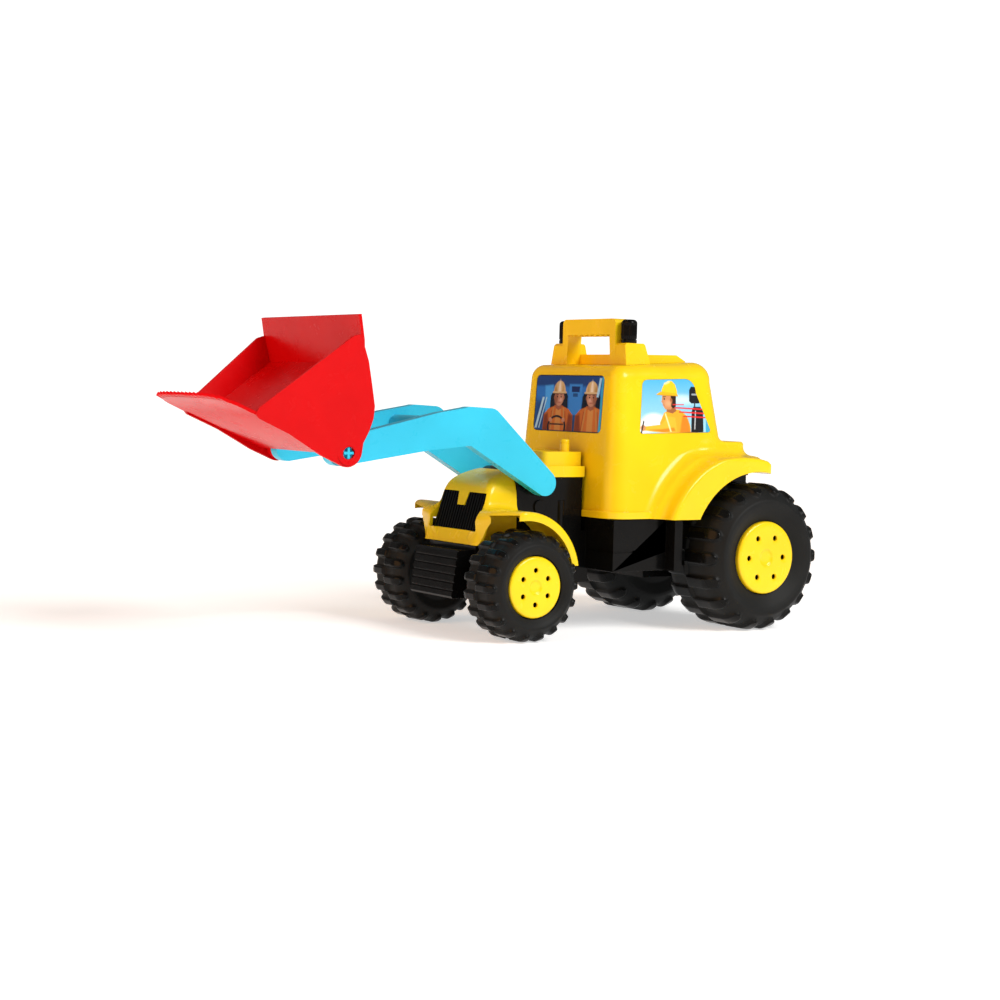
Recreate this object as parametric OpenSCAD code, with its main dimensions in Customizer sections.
// Toy front loader: yellow cab and hood on a black chassis, blue lift arms, red bucket.
// X is forward, Y is to the left, Z is up. The wheels stand on z = 0.
// Lengths along X are measured from the rear axle, and in_frame() then moves them to the origin.

/* [Wheels] */
// Radius of a rear tyre over its lugs
rear_tyre_r = 75; // [72:0.5:77]
// Width of a rear tyre
rear_tyre_w = 84; // [80:1:85]
// Distance from the middle plane to the outer face of a rear wheel
rear_face_y = 130; // [129:0.5:132]
// Radius of a front tyre over its lugs
front_tyre_r = 53; // [50:0.5:53]
// Width of a front tyre
front_tyre_w = 56; // [52:1:57]
// Distance from the middle plane to the outer face of a front wheel
front_face_y = 112; // [112:0.5:114]
// Distance between the two axles
wheelbase = 272; // [271:0.5:274]
// Lugs in each of a tyre's two rows
lug_count = 18; // [12:1:22]
// Radius of the steel axles
axle_r = 3; // [2.5:0.1:3.5]

/* [Cab] */
// Half width of the cab at its lower edge
cab_base_half_w = 88; // [86:0.5:89]
// Half width of the cab at the roof
cab_top_half_w = 77; // [74:0.5:79]
// Height of the cab's lower edge
cab_base_z = 114; // [113:0.5:116]
// Height of the roof at its front edge
roof_front_z = 265; // [262:0.5:267]
// Height of the roof at its rear edge
roof_rear_z = 270.5; // [268:0.5:272]
// Wall of the moulded plastic shells
wall = 3; // [2.5:0.1:3.5]

/* [Handle] */
// Height of the top of the carrying handle
handle_top_z = 312; // [308:0.5:316]
// Depth of the carrying handle, front to back
handle_depth = 17; // [14:0.5:20]
// Half width of the finger opening at the roof
finger_half_w = 39; // [36:0.5:40]

/* [Loader] */
// Height of the arms' rear pivot
arm_pivot_z = 148; // [147:0.5:149]
// Thickness of a lift arm
arm_t = 12; // [10:0.5:12]
// Distance from the middle plane to the inner face of a lift arm
arm_inner_y = 44; // [44:0.5:45]
// Height of the bucket pins at rest
bucket_pin_z = 177.5; // [176:0.1:179]
// How far the bucket floor is curled up at rest, in degrees
bucket_curl = 25; // [20:1:28]
// Teeth along the bucket's lip
tooth_count = 17; // [11:2:21]
// Running clearance of the stub pins in their holes
pin_clearance = 0.06; // [0.03:0.01:0.09]

/* [Hidden] */
$fn = 48;
eps = 0.01;

// ---- places along X, from the rear axle ----
arm_pivot_x = 226;
bucket_pin_x = 455.4;
cab_front_x = 168;
cab_rear_x = 2;
tower_front_x = 249;
hood_nose_x = 299;

// ---- bucket, in its own frame: U forward and W up from the pin, before it is curled up ----
bucket_t = 3;
bucket_pin_half_w = 72.3;
splay_u = 0.045;
splay_w = 0.22;
floor_w = -6.9;
floor_tilt = 1.8;
lip_start_u = 95.5;
lip_u = 133.4;
lip_half_w = 74;
lip_power = 4.5;
back_half_w = 94;
tooth_len = 7;
lip_tip_u = lip_u + tooth_len;
bucket_nose_x = bucket_pin_x + lip_tip_u * cos(bucket_curl - floor_tilt) - floor_w * sin(bucket_curl);

// The origin is under the middle of the overall length
rear_axle_x = -(bucket_nose_x - rear_tyre_r) / 2;

// ---- roof ----
roof_front_r = 14;
roof_rear_r = 20;
roof_front_x = 159 - roof_front_r;
roof_rear_x = 29 + roof_rear_r;
roof_slope = (roof_rear_z - roof_front_z) / (roof_front_x - roof_rear_x);
function roof_z(x) = roof_front_z + (roof_front_x - x) * roof_slope;
side_lean = atan((cab_base_half_w - cab_top_half_w) / (roof_front_z - roof_front_r - cab_base_z));
front_lean = atan((cab_front_x - 159) / (roof_front_z - roof_front_r - cab_base_z));

// ---- rear wheel arch ----
arch_r = 86;
fender_x = 20;
fender_z = 80;
fender_rear_x = -20;
fender_out_y = 113;
chassis_half_w = 42;
sill_half_w = 86;
sill_bottom_z = 62;

yellow = [0.97, 0.84, 0.12];
black = [0.08, 0.08, 0.09];
blue = [0.25, 0.78, 0.93];
red = [0.83, 0.05, 0.07];
steel = [0.7, 0.7, 0.72];

// ---------------------------------------------------------------- helpers

// Moves a shape from rear-axle lengths to the model's origin
module in_frame() {
    translate([rear_axle_x, 0, 0]) children();
}

// A box between two corners
module box(low, high) {
    translate(low) cube(high - low);
}

// Extrudes an outline drawn as [x, z] from y = from_y to y = to_y
module along_y(from_y, to_y) {
    translate([0, to_y, 0]) rotate([90, 0, 0]) linear_extrude(to_y - from_y) children();
}

// Extrudes an outline drawn as [y, z] from x = from_x to x = to_x
module along_x(from_x, to_x) {
    translate([from_x, 0, 0]) rotate([90, 0, 90]) linear_extrude(to_x - from_x) children();
}

// A round bar along Y
module bar_y(x, z, r, from_y, to_y) {
    translate([x, to_y, z]) rotate([90, 0, 0]) cylinder(r = r, h = to_y - from_y);
}

// Both the shape and its mirror image on the other side of the vehicle
module both_sides() {
    children();
    mirror([0, 1, 0]) children();
}

// Points on an arc, turning from angle a to angle b
function arc(cx, cy, r, a, b, steps = 8) =
    [for (i = [0 : steps]) [cx + r * cos(a + (b - a) * i / steps), cy + r * sin(a + (b - a) * i / steps)]];

// Rounded rectangle with corners at low and high
module rounded_rect(low, high, r) {
    polygon(concat(
        arc(high[0] - r, high[1] - r, r, 0, 90),
        arc(low[0] + r, high[1] - r, r, 90, 180),
        arc(low[0] + r, low[1] + r, r, 180, 270),
        arc(high[0] - r, low[1] + r, r, 270, 360)));
}

// ---------------------------------------------------------------- wheels

lug_h = 3.5;
tyre_wall = 4;
dish = 7;
hub_face = 3;
hub_depth = 14;
hub_gap = 0.2;

// Outline of a tyre as [radius, depth], with depth 0 at the outer face and a dish around the hub's seat
function tyre_outline(r, w, seat_r) = concat(
    [[0, dish], [seat_r + 2, dish], [0.76 * r, 0], [0.79 * r, 0]],
    arc(r - 0.26 * w, 0.26 * w, 0.26 * w, -55, -4, 6),
    arc(r - 0.26 * w, 0.74 * w, 0.26 * w, 4, 55, 6),
    [[0.8 * r, w], [0, w]]);

// A hollow moulded tyre, open on its inner side, with a boss that runs on the axle
module tyre(r, w, hub_r) {
    core = r - lug_h;
    in_r = core - tyre_wall;
    boss_r = axle_r + 5;
    seat_r = hub_r + hub_gap;
    rotate_extrude($fn = 72) difference() {
        polygon(tyre_outline(core, w, seat_r));
        polygon([
            [seat_r + tyre_wall, dish + tyre_wall], [0.76 * core, tyre_wall], [0.8 * core, tyre_wall],
            [in_r, 0.2 * w], [in_r, w + 1], [seat_r + tyre_wall, w + 1]]);
        translate([boss_r, hub_depth + tyre_wall]) square([seat_r + tyre_wall - boss_r + eps, w]);
        translate([-eps, -eps]) square([seat_r + eps, hub_depth + eps]);
        translate([-eps, -eps]) square([axle_r + pin_clearance + eps, w + 1]);
        translate([-eps, w - 2]) square([boss_r + 1, 3]);
    }
    tyre_lugs(r, w, core, seat_r);
}

// Two rows of tread lugs, half a pitch apart, trimmed to the tyre's outline
module tyre_lugs(r, w, core, seat_r) {
    lug_w = 0.44 * w;
    lug_t = 0.34 * 2 * PI * r / lug_count;
    intersection() {
        rotate_extrude($fn = 72) polygon(tyre_outline(r, w, seat_r));
        for (i = [0 : lug_count - 1], row = [0, 1]) {
            rotate([0, 0, (i + row / 2) * 360 / lug_count])
                translate([core - 3, -lug_t / 2, row * (w - lug_w)])
                    cube([r - core + 4, lug_t, lug_w]);
        }
    }
}

// Puts a wheel piece, drawn with its axis along Z and its outer face at 0, on its axle
module on_axle(x, z, face_y, side) {
    in_frame() translate([x, side * face_y, z]) rotate([side * 90, 0, 0]) children();
}

// Yellow wheel disc with six holes, pressed into the tyre's seat
module hub(hub_r, pitch_r, hole_r, turn) {
    skirt = 3;
    back = hub_face + 3.5;
    dimple_r = 0.22 * hub_r;
    difference() {
        rotate_extrude($fn = 72) polygon([
            [0, hub_face + 1.5], [dimple_r - 1, hub_face + 1.5], [dimple_r + 0.5, hub_face],
            [hub_r - 2.5, hub_face], [hub_r, hub_face + 2.5], [hub_r, hub_depth],
            [hub_r - skirt, hub_depth], [hub_r - skirt, back], [0, back]]);
        for (i = [0 : 5])
            rotate([0, 0, turn + 60 * i]) translate([pitch_r, 0, -5]) cylinder(r = hole_r, h = 12);
    }
}

module tyre_rear(side) {
    color(black) on_axle(0, rear_tyre_r, rear_face_y, side)
        tyre(rear_tyre_r, rear_tyre_w, rear_tyre_r * 0.49);
}

module tyre_front(side) {
    color(black) on_axle(wheelbase, front_tyre_r, front_face_y, side)
        tyre(front_tyre_r, front_tyre_w, front_tyre_r * 0.555);
}

module hub_rear(side) {
    color(yellow) on_axle(0, rear_tyre_r, rear_face_y, side)
        hub(rear_tyre_r * 0.49, rear_tyre_r * 0.3, 2.8, 0);
}

module hub_front(side) {
    color(yellow) on_axle(wheelbase, front_tyre_r, front_face_y, side)
        hub(front_tyre_r * 0.555, front_tyre_r * 0.308, 2.5, 30);
}

axle_end = 8;
module axle(x, z, face_y) {
    color(steel) in_frame() bar_y(x, z, axle_r, axle_end - face_y, face_y - axle_end);
}

// Push nuts that hold the wheels on an axle, hidden behind the wheel discs
module axle_nuts(x, z, face_y) {
    nut_y = face_y - hub_depth + 0.4;
    color(steel) in_frame() both_sides() difference() {
        bar_y(x, z, axle_r + 3.5, nut_y, nut_y + 2);
        bar_y(x, z, axle_r, nut_y - 1, nut_y + 3);
    }
}

// ---------------------------------------------------------------- chassis

// An open-topped box with walls on all four sides and a floor
module tub(x0, x1, half_w, z0, z1) {
    difference() {
        box([x0, -half_w, z0], [x1, half_w, z1]);
        box([x0 + wall, wall - half_w, z0 + wall], [x1 - wall, half_w - wall, z1 + 1]);
    }
}

sill_front_x = cab_front_x - 4;
sill_rear_x = 88;
tail_x = -45;
beam_top_z = 100;
nose_top_z = 87;
screw_sink = 2.3;
screw_places = [[-25, 0], [70, 0], [120, 60], [120, -60], [190, 0], [285, 0]];
function belly_z(x) = x < sill_rear_x ? 50 : x < sill_front_x ? sill_bottom_z : x < tower_front_x ? 48 : 40;

module chassis_frame() {
    liner_r = arch_r - 1;
    color(black) in_frame() difference() {
        union() {
            tub(sill_rear_x, sill_front_x, sill_half_w, sill_bottom_z, cab_base_z - 1);
            tub(tail_x, sill_rear_x + wall, chassis_half_w, 50, 158);
            // Lid over the tail
            box([tail_x, -chassis_half_w, 158 - wall], [deck_rear_x + 10, chassis_half_w, 158]);
            tub(sill_front_x - wall, tower_front_x, chassis_half_w - 1, 48, beam_top_z);
            tub(tower_front_x - wall, hood_nose_x - 3, chassis_half_w - 1, 40, nose_top_z);
            // Arch liners over the rear tyres
            both_sides() intersection() {
                difference() {
                    bar_y(0, rear_tyre_r, liner_r, chassis_half_w - wall, 82);
                    bar_y(0, rear_tyre_r, liner_r - wall, chassis_half_w - wall - 1, 83);
                }
                box([-12, chassis_half_w - wall - 1, cab_base_z - 1], [90, 84, 170]);
            }
            // Black feet under the front ends of the rear fenders
            both_sides() box([sill_rear_x, 80, sill_bottom_z], [sill_rear_x + 10, 100, cab_base_z - 2]);
            // Axle tubes
            bar_y(0, rear_tyre_r, axle_r + 5, -chassis_half_w, chassis_half_w);
            bar_y(wheelbase, front_tyre_r, axle_r + 5, 2 - chassis_half_w - 8, chassis_half_w + 6);
            // Screw towers
            for (p = screw_places) translate([p[0], p[1], belly_z(p[0])]) cylinder(r = 5, h = 26);
        }
        bar_y(0, rear_tyre_r, axle_r, -200, 200);
        bar_y(wheelbase, front_tyre_r, axle_r, -200, 200);
        // Groove along each sill
        both_sides()
            box([sill_rear_x + 10 + eps, sill_half_w - 1.2, 80.5], [sill_front_x + 5, sill_half_w + 5, 82.5]);
        box([sill_front_x - 1.2, -200, 80.5], [sill_front_x + 1, -chassis_half_w, 82.5]);
        box([sill_front_x - 1.2, chassis_half_w, 80.5], [sill_front_x + 1, 200, 82.5]);
        for (p = screw_places) translate([p[0], p[1], belly_z(p[0]) - 1]) {
            cylinder(r = 1.6, h = 24);
            cylinder(r = 3.8, h = 1 + screw_sink);
        }
    }
}

module body_screws() {
    color(steel) in_frame() for (p = screw_places) translate([p[0], p[1], belly_z(p[0]) + screw_sink]) {
        cylinder(r = 1.55, h = 18);
        translate([0, 0, -2]) cylinder(r = 3.5, h = 2);
    }
}

// Ribbed black block in front of the front axle
module front_bumper() {
    low_z = 37;
    high_z = 83;
    grooves = 5;
    pitch = (high_z - low_z) / (grooves + 1);
    lean = 6 / (high_z - low_z);
    half_w = 37.5;
    function face_x(z) = 320.5 - (z - low_z) * lean;
    color(black) in_frame() difference() {
        along_y(-half_w, half_w) polygon([
            [hood_nose_x - 3, low_z], [face_x(low_z) - 2, low_z], [face_x(low_z + 2), low_z + 2],
            [face_x(high_z - 2), high_z - 2], [face_x(high_z) - 2, high_z], [hood_nose_x - 3, high_z]]);
        for (i = [1 : grooves]) translate([face_x(low_z + i * pitch), -half_w - 1, low_z + i * pitch])
            rotate([-90, 0, 0]) cylinder(r = 1.2, h = 2 * half_w + 2, $fn = 16);
    }
}

// Black tower that carries the lift arms
tower_half_w = 41;
boss_r = 13;
stub_r = 6;
module engine_block() {
    color(black) in_frame() difference() {
        union() {
            box([cab_front_x + 2.3, -tower_half_w, beam_top_z], [tower_front_x, tower_half_w, 153]);
            bar_y(arm_pivot_x, arm_pivot_z, boss_r, 0.5 - arm_inner_y, arm_inner_y - 0.5);
            both_sides() translate([196, tower_half_w - 1, beam_top_z]) cylinder(r = 4, h = 30);
            both_sides() bar_y(222, 124, 7, tower_half_w - 1, tower_half_w + 2);
        }
        box([cab_front_x + 2.3 + wall, wall - tower_half_w, beam_top_z - 1],
            [tower_front_x - wall, tower_half_w - wall, arm_pivot_z - boss_r - wall]);
        both_sides() bar_y(arm_pivot_x, arm_pivot_z, stub_r + pin_clearance, 28, 60);
    }
}

// ---------------------------------------------------------------- hood and front fenders

// Side outline of the hood as [x, z], shrunk by t
function hood_side(t) = [
    [tower_front_x + t, 88 - t], [hood_nose_x - t, 88 - t], [294.5 - t, 101], [283.5 - t, 138 - t / 2],
    [275.5 - t, 150 - t], [262 - t, 156 - t], [tower_front_x + 1 + t, 160 - t]];

// Front outline of one half of the hood as [y, z], shrunk by t
function hood_half(t) = [
    [47.5 - t, 88 - t], [44.5 - t, 101], [40.5 - t, 138], [36 - t, 150 - t], [29 - t, 160 - t]];

module hood_body(t) {
    half = hood_half(t);
    intersection() {
        along_y(-60, 60) polygon(hood_side(t));
        along_x(200, 320)
            polygon(concat(half, [for (i = [len(half) - 1 : -1 : 0]) [-half[i][0], half[i][1]]]));
    }
}

grille_lean = atan(11 / 37);
grille_low_z = 101;
grille_high_z = 137.5;

// The grille's opening in the hood's nose as [y, z], with a tab hanging from its top edge
module grille_outline(gap) {
    low = 42 - gap;
    high = 37.8 - gap;
    tab_z = grille_high_z - 13 - gap;
    polygon([
        [-low, grille_low_z + gap], [low, grille_low_z + gap], [high, grille_high_z - gap],
        [9 + gap, grille_high_z - gap], [6 + gap, tab_z], [-6 - gap, tab_z], [-9 - gap, grille_high_z - gap],
        [-high, grille_high_z - gap]]);
}

// Front fender: an arch over the tyre, a flange on its outer edge and a web at its front
fender_arch_x = 275;
fender_arch_z = 60;
fender_arch_r = 63.5;
front_fender_y = 97;
function fender_band(inner_r) = concat(
    [[283, fender_arch_z + fender_arch_r + 2]],
    arc(fender_arch_x, fender_arch_z, fender_arch_r, 97, 170, 10),
    arc(fender_arch_x, fender_arch_z, inner_r, 166, 97, 10),
    [[281, fender_arch_z + inner_r + 1]]);

module front_fender() {
    along_y(41.3, front_fender_y) polygon(fender_band(fender_arch_r - wall));
    along_y(front_fender_y - wall, front_fender_y) polygon(fender_band(fender_arch_r - 8.5));
    translate([297, 44, 0]) rotate([0, 0, 17]) along_x(-wall, 0)
        polygon([[0, 88], [2.5, 88], [18, 113], [30, 115], [55, 115], [55, 123], [50, 125.5], [0, 128]]);
}

module front_cowl() {
    color(yellow) in_frame() difference() {
        union() {
            hood_body(0);
            both_sides() front_fender();
        }
        difference() {
            hood_body(wall);
            box([tower_front_x - 1, -60, 0], [tower_front_x + wall, 60, 200]);
        }
        // The hood is open underneath
        box([tower_front_x + wall, -41, 80], [291, 41, 95]);
        intersection() {
            along_x(270, 310) grille_outline(0);
            translate([294.5, 0, 101]) rotate([0, -grille_lean, 0]) box([-wall - 3, -50, -2], [10, 50, 60]);
        }
    }
}

// Black ribbed insert that fills the opening in the hood's nose
module grille() {
    ribs = 17;
    pitch = 76 / ribs;
    color(black) in_frame() intersection() {
        along_x(270, 310) grille_outline(0.3);
        translate([294.5, 0, 101]) rotate([0, -grille_lean, 0]) union() {
            box([-wall - 2.5, -50, -5], [-2, 50, 60]);
            for (i = [0 : ribs - 1])
                box([-3, (i - ribs / 2 + 0.2) * pitch, -5], [-0.5, (i - ribs / 2 + 0.8) * pitch, 60]);
        }
    }
}

// ---------------------------------------------------------------- engine cover

cover_z = 178;
module cover_step(front_x, half_w, z0, z1, t) {
    translate([0, 0, z0]) linear_extrude(z1 - z0)
        rounded_rect([cab_front_x - 10, t - half_w], [front_x - t, half_w - t], 6 - t);
}

module engine_cover() {
    color(yellow) in_frame() difference() {
        union() {
            cover_step(221, 42, 153.2, 164, 0);
            cover_step(214, 35, 164 - eps, cover_z, 0);
        }
        cover_step(221, 42, 153, 161, wall);
        cover_step(214, 35, 161 - eps, cover_z - wall, wall);
        box([cab_front_x - 20, -60, 150], [cab_front_x + 0.5, 60, 190]);
        bar_y(arm_pivot_x, arm_pivot_z, boss_r + 0.5, -60, 60);
    }
}

// Small yellow cap on the engine cover
module air_cap() {
    cap_r = 4.8;
    color(yellow) in_frame() translate([181, 24, cover_z]) rotate_extrude()
        polygon(concat([[0, 0], [cap_r, 0]], arc(cap_r - 2, 10.5, 2, 0, 90, 5), [[0, 12.5]]));
}

// ---------------------------------------------------------------- cab

// Rounded tapering block that gives the cab's outer shape, shrunk by t
module cab_block(t) {
    base_r = 22;
    hull() {
        both_sides() {
            translate([cab_front_x - base_r, cab_base_half_w - base_r, cab_base_z])
                cylinder(r = base_r - t, h = 1, $fn = 32);
            translate([cab_rear_x + base_r, cab_base_half_w - base_r, cab_base_z])
                cylinder(r = base_r - t, h = 1, $fn = 32);
            translate([roof_front_x, cab_top_half_w - roof_front_r, roof_front_z - roof_front_r])
                sphere(r = roof_front_r - t, $fn = 32);
            translate([roof_rear_x, cab_top_half_w - roof_rear_r, roof_rear_z - roof_rear_r])
                sphere(r = roof_rear_r - t, $fn = 32);
        }
    }
}

// Rear fender: a ring section over the tyre with a straight tail, shrunk by t
module rear_fender(t) {
    intersection() {
        union() {
            translate([fender_x, 0, fender_z]) rotate([-90, 0, 0]) rotate_extrude($fn = 72) polygon([
                [0, 70], [108 - t, 70], [107 - t, 86 - t / 2], [100 - t, 97 - t],
                [98 - t, fender_out_y - 4 - t],
                [96 - t, fender_out_y - t], [0, fender_out_y - t]]);
        }
        along_y(70, fender_out_y) polygon([
            [fender_rear_x + t, 155], [fender_rear_x + t, 168 - t], [fender_rear_x + 6 + t, 176 - t],
            [90, 178 - t],
            [140, 150], [140, cab_base_z], [fender_x, cab_base_z], [fender_x, 155]]);
    }
}

// Deck behind the cab
deck_z = 191;
deck_rear_x = -14;
module rear_deck(t) {
    translate([0, 0, cab_base_z]) linear_extrude(deck_z - t - cab_base_z)
        rounded_rect([deck_rear_x + t, t - 82], [60, 82 - t], 18 - t);
}

module cab_shell() {
    color(yellow) in_frame() difference() {
        union() {
            cab_block(0);
            rear_deck(0);
            both_sides() rear_fender(0);
            // Skirt step along the front and sides
            translate([0, 0, cab_base_z]) linear_extrude(7) rounded_rect([94, -90], [cab_front_x + 2, 90], 23);
        }
        difference() {
            union() {
                translate([0, 0, -eps]) cab_block(wall);
                rear_deck(wall);
                both_sides() rear_fender(wall);
            }
            box([cab_front_x - 2, -100, 100], [200, 100, 105]);
        }
        translate([0, 0, cab_base_z - 1]) linear_extrude(9)
            rounded_rect([94 + wall, wall - 88], [cab_front_x - wall, 88 - wall], 20);
        both_sides() bar_y(0, rear_tyre_r, arch_r, chassis_half_w + 1, 150);
        box([tail_x - 10, -chassis_half_w - 1.5, 100], [sill_rear_x + wall + 0.3, chassis_half_w + 1.5, 159]);
        windscreen_plate(1);
        both_sides() window_plate(1);
    }
}

// Window outlines lie in the leaning faces of the cab
module windscreen_plate(depth) {
    translate([cab_front_x, 0, cab_base_z]) rotate([0, -front_lean, 0])
        along_x(-depth, 1) rounded_rect([-58, 83], [58, 141], 6);
}

module window_plate(depth) {
    translate([0, cab_base_half_w, cab_base_z]) rotate([side_lean, 0, 0]) along_y(-depth, 1)
        polygon(concat(
            arc(131 - 3, 84 + 3, 3, -90, 0, 4), arc(127 - 6, 138 - 6, 6, 0, 90, 4),
            arc(58 + 14, 140 - 14, 14, 90, 180, 8), arc(40 + 3, 86 + 3, 3, 180, 270, 4)));
}

// Printed vinyl stickers that fill the window recesses
module windscreen_sticker() {
    color("steelblue") in_frame() intersection() {
        windscreen_plate(0.9);
        translate([cab_front_x, 0, cab_base_z]) rotate([0, -front_lean, 0])
            box([-0.9, -57.7, 83.3], [-0.3, 57.7, 140.7]);
    }
}

module window_sticker() {
    color("skyblue") in_frame() intersection() {
        window_plate(0.9);
        translate([0, cab_base_half_w, cab_base_z]) rotate([side_lean, 0, 0])
            box([0, -0.9, 0], [200, -0.3, 200]);
    }
}

// ---------------------------------------------------------------- roof handle

handle_front_x = 137;
bar_z = 296;
module roof_handle() {
    rear_x = handle_front_x - handle_depth;
    base_gap = 0.05;
    color(yellow) in_frame() {
        difference() {
            union() {
                along_x(rear_x, handle_front_x) polygon(concat(
                    [[-48.5, 250], [48.5, 250], [44.5, 287]],
                    arc(44.5 - 5, handle_top_z - 5, 5, 0, 90), arc(5 - 44.5, handle_top_z - 5, 5, 90, 180),
                    [[-44.5, 287]]));
                both_sides() intersection() {
                    along_x(100, handle_front_x + 0.5)
                        polygon([[40, 250], [64.5, 250], [63.8, 266], [60, 287.5], [40, 287.5]]);
                    along_y(40, 70) polygon([
                        [105, 250], [106.5, 268], [111, 286], [113, 287.5], [134, 287.5], [136.5, 285],
                        [138, 250]]);
                }
            }
            along_x(rear_x - 1, handle_front_x + 1) polygon([
                [-finger_half_w, 240], [finger_half_w, 240], [finger_half_w - 4.5, bar_z],
                [4.5 - finger_half_w, bar_z]]);
            roof_cut(base_gap);
        }
        // Finger ribs under the bar
        for (i = [-3 : 3])
            box([rear_x + 1, i * 9 - 1.5, bar_z - 1.6], [handle_front_x - 1, i * 9 + 1.5, bar_z + eps]);
        // Raised plate behind the handle
        difference() {
            along_y(-50, 50)
                polygon([[rear_x + eps, 250], [rear_x + eps, 276.5], [62, 277.5], [50, 271.5], [50, 250]]);
            roof_cut(base_gap);
        }
    }
}

// Everything below the sloping roof surface
module roof_cut(gap) {
    along_y(-100, 100) polygon([
        [0, 0], [200, 0], [200, roof_z(200) + gap], [0, roof_z(0) + gap]]);
}

// Black round-topped lamp standing on the handle's shoulder
lamp_r = 8;
module lamp() {
    color(black) in_frame() translate([126, 44.7 + lamp_r, 287.6]) rotate_extrude()
        polygon(concat([[0, 0], [lamp_r, 0]], arc(lamp_r - 4, 19.5, 4, 0, 90, 6), [[0, 23.5]]));
}

// ---------------------------------------------------------------- lift arms

arm_outer_y = arm_inner_y + arm_t;
arm_end_r = 12.5;
bucket_stub_r = 5.8;
tube_x = 337;
tube_z = 203;
peg_r = 4;

// Outline of a lift arm as [x, z]: a bent plate with a round end at each pivot
module arm_outline() {
    polygon(concat(
        arc(arm_pivot_x, arm_pivot_z, arm_end_r, -60, -228, 12),
        arc(292, 206, 14, 131, 95, 4),
        arc(314, 203, 18, 92, 72, 4),
        [[352, 214.5]],
        arc(bucket_pin_x, bucket_pin_z, arm_end_r, 73, -98, 12),
        [[357, 180]],
        arc(316, 176, 8, 84, 125, 4)));
}

module arm() {
    color(blue) in_frame() difference() {
        union() {
            along_y(arm_inner_y, arm_outer_y) arm_outline();
            bar_y(arm_pivot_x, arm_pivot_z, stub_r, 30, arm_inner_y + 1);
            bar_y(bucket_pin_x, bucket_pin_z, bucket_stub_r, arm_outer_y - 1, 68.5);
            // Cross-shaped end of the bucket stub
            for (turn = [0, 90]) translate([bucket_pin_x, 68, bucket_pin_z]) rotate([0, turn, 0])
                box([-5, 0, -1.2], [5, 4, 1.2]);
        }
        bar_y(tube_x, tube_z, peg_r, arm_inner_y - 1, arm_inner_y + 8);
    }
}

// Tube that ties the two lift arms together
module arm_cross_tube() {
    color(blue) in_frame() {
        bar_y(tube_x, tube_z, 8, -arm_inner_y, arm_inner_y);
        bar_y(tube_x, tube_z, peg_r, -arm_inner_y - 7.5, arm_inner_y + 7.5);
    }
}

// ---------------------------------------------------------------- bucket

// Places a shape drawn in the bucket's frame, curled up about its pins
module on_bucket_pin() {
    in_frame() translate([bucket_pin_x, 0, bucket_pin_z]) rotate([0, -bucket_curl, 0]) children();
}

// Side plate outline as [u, w], with the pin at [0, 0]
module side_outline() {
    polygon(concat(
        [[53, 90], [47.5, 95], [27.5, 78], [14, 63], [0, 47], [-5, 37], [-7.5, 25], [-8, 14]],
        arc(0, 0, ear_r, 155, 270, 8),
        [[24, -13.6], [62, -10.8], [96, -11.6], [100, -9.5], [100, -3]]));
}

// The space between the two leaning side planes, brought in by inset on each side
module between_sides(inset) {
    lean_w = -atan(splay_w);
    lean_u = atan(splay_u * cos(lean_w));
    intersection_for(side = [0, 1]) mirror([0, side, 0])
        translate([0, bucket_pin_half_w - inset, 0]) rotate([lean_w, 0, 0]) rotate([0, 0, lean_u])
            box([-300, -400, -300], [300, 0, 300]);
}

// A sheet of the bucket's thickness between two points [u, w]
module sheet(a, b) {
    run = b - a;
    slant = atan2(run[1], run[0]);
    translate([a[0], 0, a[1]]) rotate([0, -slant, 0]) box([0, -120, 0], [norm(run), 120, bucket_t]);
}

// Front edge of the floor: a superellipse between the side plates
function lip_edge_u(y) =
    lip_start_u + (lip_u - lip_start_u) * pow(1 - pow(abs(y) / lip_half_w, lip_power), 1 / lip_power);

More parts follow.
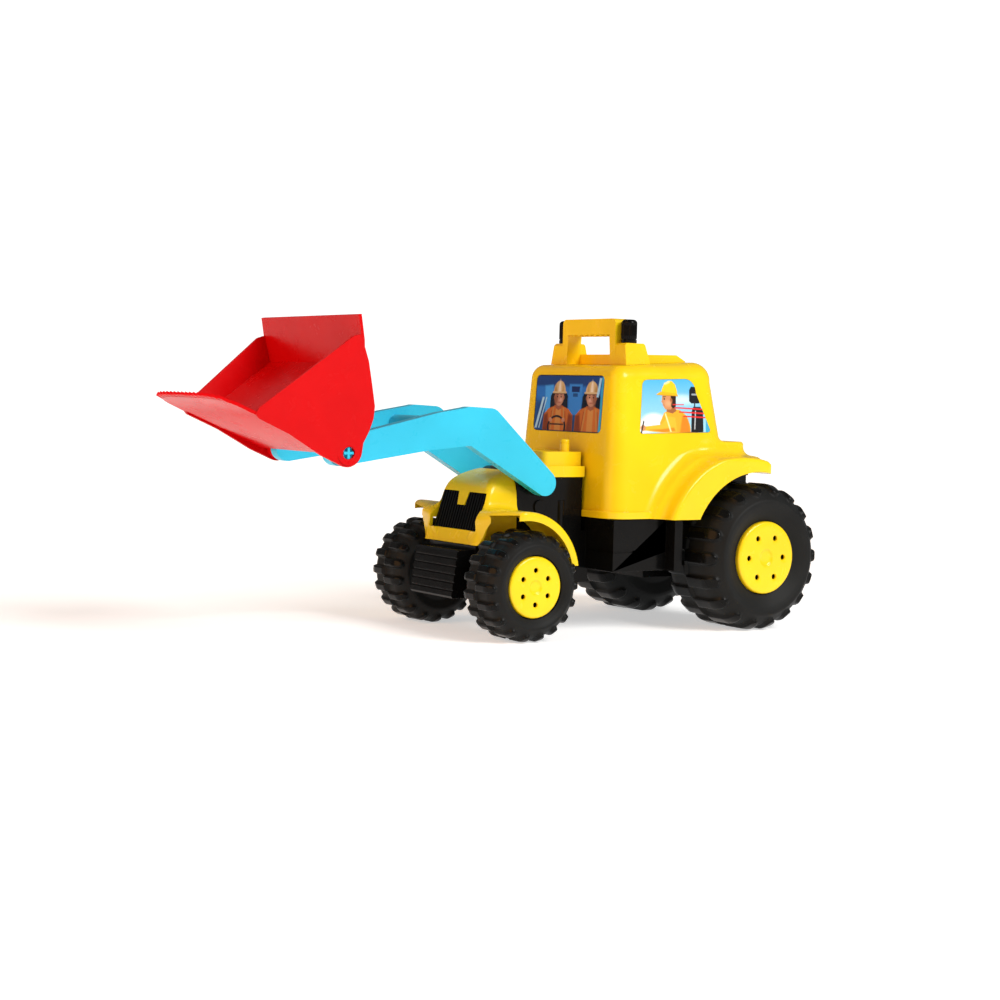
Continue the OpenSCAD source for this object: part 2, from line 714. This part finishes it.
// Floor with rounded corners and a row of small pointed teeth along its front edge
module floor_plate() {
    half = concat(
        [[14, lip_half_w - 4.2], [lip_start_u, lip_half_w]],
        [for (y = [0.98, 0.94, 0.87, 0.77, 0.6, 0.35] * lip_half_w) [lip_edge_u(y), y]]);
    pitch = 2 * (lip_half_w - 6) / tooth_count;
    translate([0, 0, floor_w]) rotate([0, floor_tilt, 0]) {
        linear_extrude(bucket_t)
            polygon(concat(half, [[lip_u, 0]], [for (i = [len(half) - 1 : -1 : 0]) [half[i][0], -half[i][1]]]));
        for (i = [0 : tooth_count - 1]) {
            y = (i - (tooth_count - 1) / 2) * pitch;
            translate([lip_edge_u(y), y, 0.2]) linear_extrude(bucket_t - 0.4)
                polygon([
                    [-4, -0.46 * pitch], [0, -0.4 * pitch], [tooth_len, 0], [0, 0.4 * pitch],
                    [-4, 0.46 * pitch]]);
        }
    }
}

ear_r = 13;
back_top = [57, 109.7];
back_fold = [33, 74.5];
toe = [82.7, -7.5];
module bucket() {
    color(red) on_bucket_pin() difference() {
        union() {
            // Side plates
            difference() {
                intersection() {
                    along_y(-120, 120) side_outline();
                    between_sides(0);
                }
                between_sides(bucket_t);
            }
            // Back panel and the inner panel that slopes down to the floor
            intersection() {
                union() {
                    sheet(back_fold - [0.56, 0.83], back_top);
                    sheet(toe, back_fold + [-1.05, 1.7]);
                }
                between_sides(0.5);
                box([-20, -back_half_w, -20], [150, back_half_w, 150]);
            }
            floor_plate();
            // Bosses around the pins
            both_sides() bar_y(0, 0, ear_r - 2, arm_outer_y + 0.8, bucket_pin_half_w - 1);
        }
        bar_y(0, 0, bucket_stub_r + pin_clearance, -120, 120);
    }
}

// ---------------------------------------------------------------- nodes

chassis_frame();
front_bumper();
engine_block();
body_screws();
front_cowl();
grille();
engine_cover();
air_cap();
cab_shell();
windscreen_sticker();
window_sticker();  // window_sticker_left
mirror([0, 1, 0]) window_sticker();  // window_sticker_right
roof_handle();
lamp();  // lamp_left
mirror([0, 1, 0]) lamp();  // lamp_right
axle(0, rear_tyre_r, rear_face_y);  // rear_axle
axle(wheelbase, front_tyre_r, front_face_y);  // front_axle
axle_nuts(0, rear_tyre_r, rear_face_y);  // rear_axle_nuts
axle_nuts(wheelbase, front_tyre_r, front_face_y);  // front_axle_nuts
tyre_rear(1);  // tyre_rear_left
tyre_rear(-1);  // tyre_rear_right
tyre_front(1);  // tyre_front_left
tyre_front(-1);  // tyre_front_right
hub_rear(1);  // hub_rear_left
hub_rear(-1);  // hub_rear_right
hub_front(1);  // hub_front_left
hub_front(-1);  // hub_front_right
arm();  // arm_left
mirror([0, 1, 0]) arm();  // arm_right
arm_cross_tube();
bucket();
